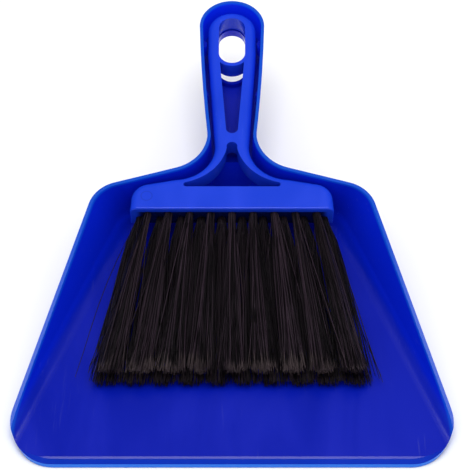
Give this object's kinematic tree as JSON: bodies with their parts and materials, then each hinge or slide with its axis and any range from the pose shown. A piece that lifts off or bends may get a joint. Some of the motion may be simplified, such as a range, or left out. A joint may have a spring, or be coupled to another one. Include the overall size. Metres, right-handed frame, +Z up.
{
  "type": "dustpan and brush",
  "caption": "Shallow dustpan with a trough handle and a nested whisk brush that lifts out, both slotted for hanging.",
  "frame": {"origin": "on the ground under the middle of the set, half way between the front lip and the hanging end", "axes": "+Y from the mouth to the hanging end of the handle, +X across the mouth, +Z up from the ground"},
  "size_m": [0.2204, 0.2924, 0.0546],
  "materials": {
    "pan_plastic": "gloss, moulded",
    "brush_plastic": "satin gloss, moulded",
    "bristle": "fine filament",
    "anchor_wire": "bare flat wire"
  },
  "bodies": {
    "pan": {"dustpan": "pan_plastic"},
    "brush": {"brush_body": "brush_plastic", "tuft_upper_1": "bristle", "tuft_upper_2": "bristle", "tuft_upper_3": "bristle", "tuft_upper_4": "bristle", "tuft_upper_5": "bristle", "tuft_upper_6": "bristle", "tuft_upper_7": "bristle", "tuft_upper_8": "bristle", "tuft_upper_9": "bristle", "tuft_lower_1": "bristle", "tuft_lower_2": "bristle", "tuft_lower_3": "bristle", "tuft_lower_4": "bristle", "tuft_lower_5": "bristle", "tuft_lower_6": "bristle", "tuft_lower_7": "bristle", "tuft_lower_8": "bristle", "tuft_lower_9": "bristle", "tuft_lower_10": "bristle", "anchor_upper_1": "anchor_wire", "anchor_upper_2": "anchor_wire", "anchor_upper_3": "anchor_wire", "anchor_upper_4": "anchor_wire", "anchor_upper_5": "anchor_wire", "anchor_upper_6": "anchor_wire", "anchor_upper_7": "anchor_wire", "anchor_upper_8": "anchor_wire", "anchor_upper_9": "anchor_wire", "anchor_lower_1": "anchor_wire", "anchor_lower_2": "anchor_wire", "anchor_lower_3": "anchor_wire", "anchor_lower_4": "anchor_wire", "anchor_lower_5": "anchor_wire", "anchor_lower_6": "anchor_wire", "anchor_lower_7": "anchor_wire", "anchor_lower_8": "anchor_wire", "anchor_lower_9": "anchor_wire", "anchor_lower_10": "anchor_wire"}
  },
  "joints": [
    {"name": "brush_lift", "type": "slide", "parent": "pan", "child": "brush", "axis": [0, -0.1532, 0.9882], "range_m": [0, 0.1]}
  ]
}
